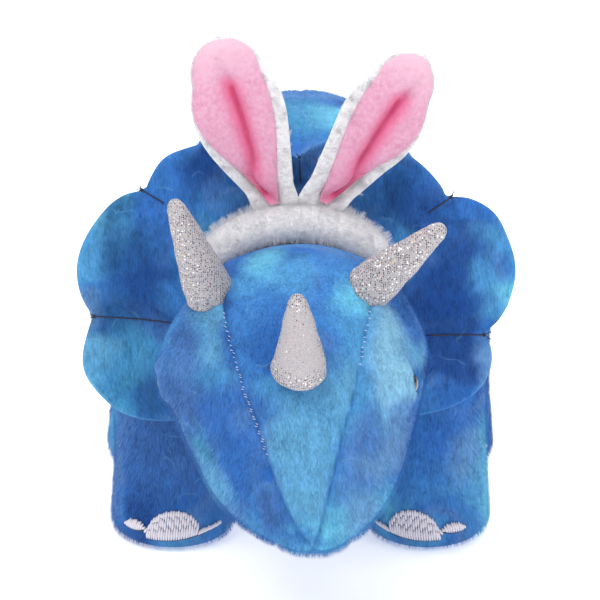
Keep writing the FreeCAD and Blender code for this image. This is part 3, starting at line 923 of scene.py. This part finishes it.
def make_frill():
    """A wadded collar of scallops, laid out in rings round the neck, drawn thin at each gather."""
    centre, front, up, half = frill_frame()
    right = arr((1, 0, 0))
    tree = tree_of(*FRILL)
    notch_turns = sorted(math.atan2(*((notch - centre) @ w for w in (right, up))) for _, notch in gathers())
    corners = notch_turns + [notch_turns[0] + 2 * math.pi]
    turns = []
    for a, b in zip(corners, corners[1:]):
        steps = max(int((b - a) / math.radians(1.6)), 2)
        turns += [a + (b - a) * i / steps for i in range(steps)]
    ways = arr([right * math.sin(t) + up * math.cos(t) for t in turns])
    edge = arr([outside(tree, centre, way) for way in ways]) - 1.2 * MM
    rows = []
    shares = np.linspace(0, 1, FRILL_RINGS) ** 0.85
    gather_lines = [[end - front * np.dot(end - centre, front) for end in ends] for ends in gathers()]
    for face in (1, -1):
        for s in shares if face == 1 else shares[::-1][1:]:
            radius = FRILL_HOLE + (edge - FRILL_HOLE) * s
            flat = centre + ways * radius.reshape(-1, 1)
            drawn = np.min([line_distance(flat, a, b) for a, b in gather_lines], axis=0)
            thick = half * (1 - 0.8 * bell(drawn, 6 * MM))
            thick = thick * np.sqrt(np.clip(1 - s**7, 0, 1))
            curl = 3.0 * MM * s**4 - 1.5 * MM * math.sin(math.pi * s)
            rows.append(flat + front * (face * thick + curl).reshape(-1, 1))
    points = np.vstack(rows)
    total, count = len(rows), len(turns)
    faces = []
    for i in range(total):
        n = (i + 1) % total
        for j in range(count):
            k = (j + 1) % count
            faces.append((i * count + j, n * count + j, n * count + k, i * count + k))
    obj = add_mesh("frill", points, faces)
    flat = points - np.outer((points - centre) @ front, front)
    drawn = np.min([line_distance(flat, a, b) for a, b in gather_lines], axis=0)
    inner = np.hypot(points[:, 0] - centre[0], points[:, 2] - centre[2]) < FRILL_HOLE + 8 * MM
    set_values(obj, "seam", drawn)
    stuff(obj, np.maximum(held_near(drawn, 3 * MM), inner * 1.0), 3.0, 5 * MM, shrink=-0.03)
    return obj


def tube(line, radius, columns=8):
    """Points and faces of a round tube along a line of points, with one radius or one for each point."""
    line = arr(line)
    radius = np.broadcast_to(arr(radius), len(line))
    ahead = np.gradient(line, axis=0)
    ahead /= np.linalg.norm(ahead, axis=1, keepdims=True)
    side = np.cross(ahead[0], (0.3, 0.5, 0.81))
    rings = []
    for p, d, r in zip(line, ahead, radius):
        side = unit(side - d * np.dot(side, d))
        rings.append(p + r * circle(columns, side, np.cross(d, side)))
    points = np.vstack(rings + [line[:1], line[-1:]])
    return points, closed_grid(len(line), columns)


def joined(name, parts):
    """One mesh from several (points, faces) parts."""
    points, faces = [], []
    for p, f in parts:
        base = sum(len(q) for q in points)
        points.append(p)
        faces += [[base + i for i in face] for face in f]
    return add_mesh(name, np.vstack(points), faces)


def make_threads(frill):
    """The dark gathering threads: in along the front, over the notch with a knot, and in along the back."""
    front = frill_frame()[1]
    tree = tree_of_piece(frill)
    parts = []
    for number, (inner, notch) in enumerate(gathers()):
        sides = []
        for face in (1, -1):
            run = []
            for share in np.linspace(0, 1, 15):
                at = inner + (notch - inner) * share
                start = at + front * face * 40 * MM
                hit = tree.ray_cast(Vector(start), Vector(-front * face), 45 * MM)
                if hit[0] is not None:
                    run.append(arr(hit[0]) + front * face * 0.25 * MM)
            sides.append(run)
        out = unit(notch - inner)
        over = [(sides[0][-1] + sides[1][-1]) / 2 + out * 1.2 * MM]
        parts.append(tube(sides[0] + over + sides[1][::-1], 0.36 * MM))
        knot = sides[0][-1] + front * 0.4 * MM
        beside = np.cross(out, front)
        coil = [
            knot + 0.55 * MM * (math.cos(t) * out + math.sin(t * 1.5) * front * 0.6 + math.sin(t) * beside)
            for t in np.linspace(0, 4 * math.pi, 22)
        ]
        parts.append(tube(coil, 0.34 * MM, 6))
        for lift in (-0.5, 0.7):
            tail = unit(out + lift * beside)
            lengths = np.linspace(0, 2.4 + number * 0.3, 7)
            loose_end = [knot + tail * s * MM + front * 0.06 * s**1.5 * MM for s in lengths]
            parts.append(tube(loose_end, 0.22 * MM, 6))
    return joined("frill_gathers", parts)


# ---------------------------------------------------------------- headband and ears


def make_band():
    """The fuzzy band, a stuffed tube over the crown whose ends go behind the brow horns."""
    low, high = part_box("headband_sleeve")
    minor, major = 9.2 * MM, 52 * MM
    top = arr(((low.x + high.x) / 2, (low.y + high.y) / 2, high.z - minor))
    centre = top - (0, 0, major)
    line, radii = [], []
    for i in range(33):
        a = HEAD_ROLL + math.radians(-52 + 104 * i / 32)
        line.append(centre + major * arr((math.sin(a), 0, math.cos(a))))
        radii.append(minor * math.sqrt(max(1 - abs(i / 16 - 1) ** 8, 0.05)))
    points, faces = tube(line, radii, 28)
    obj = add_mesh("headband", points, faces)
    held = np.clip((top[2] - 24 * MM - points[:, 2]) / (8 * MM), 0, 1)
    stuff(obj, np.maximum(held, 0.15), 1.5, 1.5 * MM, shrink=-0.02)
    return obj


def ear_frame(side):
    """An ear's root, the way across it to the viewer's right, and its forward and up ways."""
    joint = joints[f"ear_{side}_fold"]
    across = unit(joint["axis"])
    forward = arr((0, -1, 0))
    up = np.cross(across, forward)
    return arr(joint["pos_m"]), across, forward, up if up[2] > 0 else -up


def ear_reach(side):
    """The ear's length, and its half width at even steps from the root to the tip."""
    root, across, forward, up = ear_frame(side)
    local = node_points(f"ear_{side}_back") - root
    length = (local @ up).max()
    tree = tree_of(f"ear_{side}_back")
    widths = []
    for share in np.linspace(0, 0.995, 40):
        at = root + up * max(length * share, 3.2 * MM) - forward * 2 * MM
        pair = [outside(tree, at, across * sign, 60 * MM) for sign in (1, -1)]
        widths.append(np.nan_to_num(pair, nan=0.5 * MM).mean())
    return length, arr(widths)


EAR_NEAR = {"left": 3.5 * MM, "right": 5.5 * MM}  # how far each ear's root bends towards the other ear
EAR_FOOT = 11.5 * MM  # half width of the fluff at an ear's root
EAR_SLIM = {"left": 0.0, "right": 4.5 * MM}  # how much less an ear reaches out on its outer side
EAR_TIP = 0.79  # share of its length at which an ear's round tip begins
EAR_SUNK = 4.0 * MM  # how far an ear's root goes into the headband
EAR_CUP = 3.0 * MM  # how far the edges roll forward
EAR_PILLOW = 2.6 * MM  # how far each half of the lining stands out
EAR_CREASE = 5.0 * MM  # how deep the fold between the halves is


def ease(value, low, high):
    """0 below low, 1 above high, and smooth between."""
    t = min(max((value - low) / (high - low), 0.0), 1.0)
    return t * t * (3 - 2 * t)


def ear_half(widths, v):
    """An ear's half width at a share of its length, with a round tip."""
    half = float(np.interp(min(v, EAR_TIP), np.linspace(0, 0.995, len(widths)), widths)) * 0.97
    return half * math.sqrt(max(1 - (max(v - EAR_TIP, 0) / (1 - EAR_TIP)) ** 2, 0))


def crease_place(v):
    """Where the fold lies across the ear, towards the outside, at a share of its length."""
    return (5.0 * bell(v - 0.2, 0.1) - bell(v - 0.55, 0.15) + 2 * ease(v, 0.7, 0.9)) * MM


def root_bend(side, v):
    """How far an ear lies towards the other one at a share of its length."""
    return EAR_NEAR[side] * (1 - ease(v, 0.02, 0.5))


def ear_piece(name, side, lining):
    """The white back of an ear, or the pink lining that lies on it: a leaf, cupped forward and folded along."""
    root, across, forward, up = ear_frame(side)
    inward = across if side == "left" else -across
    length, widths = ear_reach(side)
    columns, rings = 96, 56
    turns = np.arange(columns) * 2 * math.pi / columns
    rows = []
    for i in range(rings):
        share = 0.5 - 0.5 * math.cos(math.pi * (i + 0.6) / (rings + 0.2))
        v = 0.045 + 0.94 * share if lining else share
        whole = ear_half(widths, v)
        inner, outer = whole, max(whole - EAR_SLIM[side] * ease(v, 0.1, 0.4), whole * 0.5)
        if lining:
            inner -= (0.8 + 5.0 * (1 - ease(v, 0.55, 0.95)) + 1.5 * (1 - ease(v, 0.1, 0.5))) * MM
            outer -= (0.8 + 5.5 * (1 - ease(v, 0.2, 0.7))) * MM
        taper = math.sqrt(max(1 - (2 * share - 1) ** 6, 0.02))
        half = max((inner + outer) / 2 * (0.5 + 0.5 * taper if share < 0.5 else 1), 1.2 * MM)
        middle = (inner - outer) / 2
        wide = np.sign(np.cos(turns)) * np.abs(np.cos(turns)) ** 0.85
        if not lining:
            half = max(half, EAR_FOOT * (1 - ease(v, 0.1, 0.4)) * (0.75 + 0.25 * taper))
        x = middle + half * wide + root_bend(side, v)
        ahead, thick = (2.4 * MM, 1.8 * MM) if lining else (0.0, 2.9 * MM)
        y = ahead + thick * taper * np.sin(turns)
        y += EAR_CUP * math.sin(math.pi * min(v * 1.1, 1.0)) * (x / max(whole, 5 * MM)) ** 2
        folded = ease(v, 0.0, 0.12) * (1 - ease(v, 0.72, 0.95))
        from_fold = x - root_bend(side, v) + crease_place(v)
        front = np.clip(np.sin(turns) * 3, 0, 1)
        if lining:
            y += front * EAR_PILLOW * taper * (1 - np.abs(wide) ** 3) * ease(v, 0.0, 0.2)
            sharp = np.where(from_fold > 0, 2.0 * MM, 4.0 * MM)
            y -= front * EAR_CREASE * folded * np.exp(-((np.abs(from_fold) / sharp) ** 1.3))
        else:
            y -= front * 3.4 * MM * folded * bell(from_fold, 6 * MM)
        y -= 1.2 * MM * folded * bell(from_fold, 5 * MM)
        y -= 3.0 * MM * v**2
        sunk = 0.0 if lining else EAR_SUNK * (1 - ease(v, 0.0, 0.12))
        rows.append(root + np.outer(x, inward) + np.outer(y, forward) + up * (length * v - sunk))
    points = np.vstack(rows + [rows[0].mean(0), rows[-1].mean(0) + up * 0.8 * MM])
    faces = closed_grid(rings, columns)
    if side == "right":
        faces = [f[::-1] for f in faces]
    obj = add_mesh(name, points, faces)
    share_up = ((points - root) @ up) / length
    stuff(obj, np.clip(0.25 - share_up, 0.2, 1), 1.0, 1.0 * MM)
    return obj


def make_ears(side):
    back = ear_piece(f"ear_{side}_back_cloth", side, False)
    return back, ear_piece(f"ear_{side}_lining_cloth", side, True)


# ---------------------------------------------------------------- stitched toes

TOE_ARC = 28.5 * MM
TOE_PITCH = 1.15 * MM


def toe_turn(leg):
    """Which way a foot's toes face, as an angle about Z from straight ahead."""
    foot, _ = leg_axis(leg)
    middle = node_points(f"leg_{leg}_toes").mean(0) - foot
    return math.atan2(middle[0], -middle[1])


def toe_span(s):
    """Lowest and highest stitch heights at a distance from the middle toe towards the outside of the foot, or
    None: a round middle toe, a bean-shaped outer toe and a thin inner one that tapers to a line."""
    big = 1 - (s / (12.6 * MM)) ** 2
    if big > 0.03:
        return (8.1 * MM - 0.07 * s - 1.0 * MM * big, 9.3 * MM + 12.3 * MM * math.sqrt(big))
    bean = 1 - ((s - 19.0 * MM) / (5.4 * MM)) ** 2
    if bean > 0.03:
        return (11.6 * MM - 1.6 * MM * math.sqrt(bean), 11.8 * MM + 3.2 * MM * math.sqrt(bean))
    if 12 * MM < s < 15 * MM:
        return (9.4 * MM + 0.5 * (s - 12 * MM), 11.6 * MM + 0.4 * (s - 12 * MM))
    if -25 * MM < s < -12 * MM:
        return (8.8 * MM - 0.2 * (s + 12 * MM), 11.2 * MM - 0.12 * (s + 12 * MM))
    return None


def make_toes(leg, cloth):
    """The stitches of a foot's toes, and the dark line under them, laid on the leg's cloth."""
    foot, _ = leg_axis(leg)
    face = toe_turn(leg)
    outward = math.copysign(1, foot[0])
    tree = tree_of_piece(cloth)

    def on_leg(s, z, lift):
        a = face + outward * s / TOE_ARC
        way = arr((math.sin(a), -math.cos(a), 0))
        at = foot + (0, 0, z)
        hit = tree.ray_cast(Vector(at + way * 60 * MM), Vector(-way), 60 * MM)
        return arr(hit[0]) + arr(hit[1]) * lift

    threads, under = [], []
    count = int(25 * MM / TOE_PITCH)
    for i in range(-count, count + 1):
        s = i * TOE_PITCH
        span = toe_span(s)
        if span is None:
            continue
        low, high = span
        high += 0.3 * MM * math.sin(i * 2.4)
        rows = max(1, round((high - low) / (4.6 * MM)))
        for row in range(rows):
            first = (row + (0.25 * (i % 3) if row else 0.0)) / rows
            last = (row + 1 + (0.25 * (i % 3) if row < rows - 1 else 0.0)) / rows
            line, radii = [], []
            for t in np.linspace(0, 1, 6):
                at = first + (last - first) * t
                swell = math.sin(math.pi * t)
                beside = s + (0.5 - at) * 1.4 * MM
                line.append(on_leg(beside, low + (high - low) * at, (0.45 + 0.5 * swell) * MM))
                radii.append(0.66 * MM * (0.6 + 0.4 * swell))
            threads.append(tube(line, radii, 6))
        under.append(on_leg(s, low - 0.5 * MM, 0.1 * MM))
    toes = joined(f"toes_{leg}", threads)
    outline = joined(f"toe_line_{leg}", [tube(under, 0.25 * MM, 6)])
    return toes, outline


def near_toes(leg, points, margin=0.6 * MM):
    """1 where the stitched toes cover a leg's cloth."""
    foot, _ = leg_axis(leg)
    face = toe_turn(leg)
    local = points - foot
    turn = (np.arctan2(local[:, 0], -local[:, 1]) - face) * math.copysign(1, foot[0])
    inside = []
    for s, z in zip(turn * TOE_ARC, points[:, 2]):
        span = toe_span(s)
        inside.append(span is not None and span[0] - margin < z < span[1] + margin)
    return arr(inside)


def make_closing_stitches(torso):
    """Slanted hand stitches along the belly seam."""
    low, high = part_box("closing_stitches")
    tree = tree_of_piece(torso)
    parts = []
    for i in range(9):
        y = low.y + (high.y - low.y) * i / 8
        line = []
        for t in np.linspace(0, 1, 6):
            at = Vector((low.x + (high.x - low.x) * t, y + 1.6 * MM * t, 0.0))
            hit = tree.ray_cast(at, Vector((0, 0, 1)), 0.2)
            line.append(arr(hit[0]) + arr((0, 0, -0.9 * math.sin(math.pi * t) - 0.1)) * MM)
        parts.append(tube(line, 0.45 * MM, 6))
    return joined("belly_stitches", parts)


# ---------------------------------------------------------------- putting it together


def mark(obj, slot, *replaced, fill=None, look=None):
    """Gives a piece its material, the look of its slot unless another look is given, and hides the CAD nodes it
    replaces. fill is not used.
    """
    paint(obj, look or LOOKS[slot])
    if replaced:
        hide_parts(*replaced)


def claim(obj, body, slot, *replaced, **settings):
    """The same, for a piece that rides on one body."""
    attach(obj, body)
    mark(obj, slot, *replaced, **settings)


def soften(obj, size, seed, amount):
    """Splits the faces of a piece and gives its cloth bumps of about this size."""
    subdivide(obj)
    press_in(obj, ripple(get_points(obj), size, seed) * amount)


def sew(obj, depth=1.3 * MM, width=1.5 * MM, inside=OTHER_PANEL, margin=0.0):
    """Draws the cloth in along its seams, and tells the plush where they are, for the forehead's dye and for the
    painted shade along them.
    """
    distance = get_values(obj, "seam")
    set_panel_map(obj, inside, distance + margin)
    press_in(obj, depth * bell(distance, width))


LOOKS = {
    "blue_plush": dyed_plush("dyed_plush"),
    "white_plush": fluffy_white("white_fluff"),
    "foil_cloth": foil_cloth("foil_cloth", 0.06, 0.95),
    "toe_thread": thread("toe_thread", "#e6e0ea", 0.4),
    "navy_thread": thread("navy_thread", "#101a38", 0.1),
}

torso = make_torso()
legs = {leg: make_leg(leg) for leg in LEGS}
tail = make_tail()
neck = make_neck()
head = make_head()
horns = {name: make_horn(name) for name in HORNS}
frill = make_frill()
band = make_band()
ears = {side: make_ears(side) for side in SIDES}
run_stuffing()

# Torso.
soften(torso, 60 * MM, 3, 0.5 * MM)
sew(torso, 0.8 * MM, margin=0.9 * MM)
claim(torso, "torso", "blue_plush", "flank_left", "flank_right", "belly_panel", "torso_fill", fill=0.8)
nap(torso, PILE, 1.6, (0, 0.5, -0.35), seed=11)
claim(make_closing_stitches(torso), "torso", "navy_thread", "closing_stitches")

# Legs and toes.
for number, (leg, obj) in enumerate(legs.items()):
    subdivide(obj)
    points = get_points(obj)
    foot, hip = leg_axis(leg)
    flat = np.clip(points[:, 2] / (6 * MM), 0, 1)
    press_in(obj, ripple(points, 34 * MM, 20 + number) * 0.45 * MM * flat)
    sew(obj)
    points = get_points(obj)
    points[:, 2] = np.maximum(points[:, 2], 0.2 * MM)
    set_points(obj, points)
    toes, outline = make_toes(leg, obj)
    claim(toes, f"leg_{leg}", "toe_thread", f"leg_{leg}_toes")
    claim(outline, f"leg_{leg}", "navy_thread")
    mark(obj, "blue_plush", f"leg_{leg}_skin", f"leg_{leg}_fill", f"leg_{leg}_sole", fill=0.8)
    bare = (points[:, 2] > 1.5 * MM) * (1 - near_toes(leg, points))
    nap(obj, PILE, 1.6, (0, 0, -0.6), seed=31 + number, keep=bare)
    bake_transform(obj)

# Tail and neck.
subdivide(tail)
sew(tail)
mark(tail, "blue_plush", "tail_skin", "tail_fill", fill=0.8)
nap(tail, PILE, 1.6, (0, 0.5, -0.3), seed=41)
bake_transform(tail)
subdivide(neck)
set_panel_map(neck, OTHER_PANEL, UNSEWN)
claim(neck, "neck", "blue_plush", "neck_fill", fill=0.7)
nap(neck, PILE, 1.2, (0, 0.3, -0.4), seed=42)

# Head.
soften(head, 42 * MM, 5, 0.7 * MM)
fill_out_beak(head)
sew(head, 1.6 * MM, inside=get_values(head, "inside"))
sink_eyes(head)
claim(head, "head", "blue_plush", *HEAD_PANELS, "head_fill", fill=0.9)
points = get_points(head)
bare = np.clip(get_values(head, "seam") / (0.9 * MM), 0.0, 1)
for side in SIDES:
    centre, out = eye_centre(side)
    bare = bare * np.clip((np.linalg.norm(points - centre, axis=1) - 4 * MM) / (3 * MM), 0, 1)
nap(head, PILE, 1.8, (0, -0.25, -0.55), seed=51, keep=bare)
for side, low_stitch, count in (("left", 96 * MM, 36), ("right", 132 * MM, 10)):
    claim(make_seam_stitches(head, side, 150 * MM, low_stitch, count), "head", "toe_thread")
for name, horn in horns.items():
    subdivide(horn)
    finish_horn(name, horn)
    claim(horn, "head", "foil_cloth", f"{name}_skin", f"{name}_fill", fill=0.9)

# Frill.
soften(frill, 30 * MM, 8, 0.6 * MM)
sew(frill, 1.0 * MM, 1.6 * MM, margin=1 * MM)
claim(frill, "head", "blue_plush", *FRILL, fill=0.6)
nap(frill, PILE, 1.6, (0, 0, -0.6), seed=61)
claim(make_threads(frill), "head", "navy_thread", "frill_threads")

# Headband and ears.
subdivide(band)
claim(band, "head", "white_plush", "headband_sleeve", "headband_fill", fill=0.7)
nap(band, FUZZ * 1.1, 2.8, (0, 0, 0), loose=0.3, width=0.075 * MM, seed=71)
for number, (side, (back, lining)) in enumerate(ears.items()):
    root, across, forward, up = ear_frame(side)
    length, _ = ear_reach(side)
    outward = -across if side == "left" else across
    ends = (0.12, 0.72)  # shares of the ear's length between which the fold is deep pink, with painted shade in its crease
    fold = [root + up * length * v + outward * (crease_place(v) - root_bend(side, v)) for v in ends]
    subdivide(back)
    subdivide(lining)
    pink = pink_velour(f"pink_velour_{side}", *fold)
    claim(back, f"ear_{side}", "white_plush", f"ear_{side}_back", fill=0.4)
    claim(lining, f"ear_{side}", "pink_plush", f"ear_{side}_lining", fill=0.4, look=pink)
    nap(back, FUZZ * 1.15, 3.4, (0, 0, 0.1), loose=0.32, width=0.07 * MM, seed=81 + number)
    nap(lining, VELOUR, 2.0, (0, 0, 0.5), width=0.07 * MM, seed=91 + number)

# Pieces that stay as the CAD made them.
eye = glossy_eye("eye_gloss")
for side in SIDES:
    paint(nodes[f"eye_{side}"], eye)
    paint(nodes[f"eye_washer_{side}"], woven_tape(f"washer_{side}"))
paint(nodes["sewn_label"], woven_tape("label_tape"))


# ---------------------------------------------------------------- studio


def add_light(name, at, target, size, power):
    light = bpy.data.lights.new(name, "AREA")
    light.shape, light.size, light.energy = "DISK", size, power
    obj = bpy.data.objects.new(name, light)
    obj.location = at
    obj.rotation_euler = (Vector(target) - Vector(at)).to_track_quat("-Z", "Y").to_euler()
    scene.collection.objects.link(obj)


def make_studio():
    floor = add_mesh("floor", [(-4, -4, 0), (4, -4, 0), (4, 4, 0), (-4, 4, 0)], [(0, 1, 2, 3)])
    n = Nodes("studio_floor")
    paper = n.noise(n.place, 3.0, 2.0)
    tint = n.ramp(paper, [(0.3, white(0.93)), (0.7, white(0.96))])
    paint(floor, n.finish(Base_Color=tint, Roughness=0.9, Emission_Color=white(1.0), Emission_Strength=0.5))
    middle = (0, -0.02, 0.12)
    add_light("key", (-0.5, -0.8, 1.4), middle, 0.8, 11)
    add_light("fill", (0.9, -0.9, 0.8), middle, 1.0, 4.5)
    add_light("top", (0.0, 0.2, 1.5), middle, 1.1, 10)
    add_light("back", (0.3, 1.2, 0.7), middle, 0.8, 4)
    world = bpy.data.worlds.new("studio")
    scene.world = world
    world.use_nodes = True
    background = world.node_tree.nodes["Background"].inputs
    background["Color"].default_value = white(1.0)
    background["Strength"].default_value = 0.57
    scene.view_settings.view_transform = "Standard"


def make_camera():
    """A long lens from straight ahead, a little above."""
    elevation, distance = math.radians(21.6), 3.0
    scale = 2.15  # parts of a 600 wide picture for each millimetre
    target = Vector((-0.28, -30, 120.6)) * MM
    ahead = Vector((0, math.cos(elevation), -math.sin(elevation)))
    data = bpy.data.cameras.new("camera")
    data.sensor_width = 36
    data.lens = 36 * scale * distance / (600 * MM)
    data.clip_end = 20
    camera = bpy.data.objects.new("camera", data)
    camera.location = target - ahead * distance
    camera.rotation_euler = ahead.to_track_quat("-Z", "Y").to_euler()
    scene.collection.objects.link(camera)
    scene.camera = camera


make_studio()
make_camera()
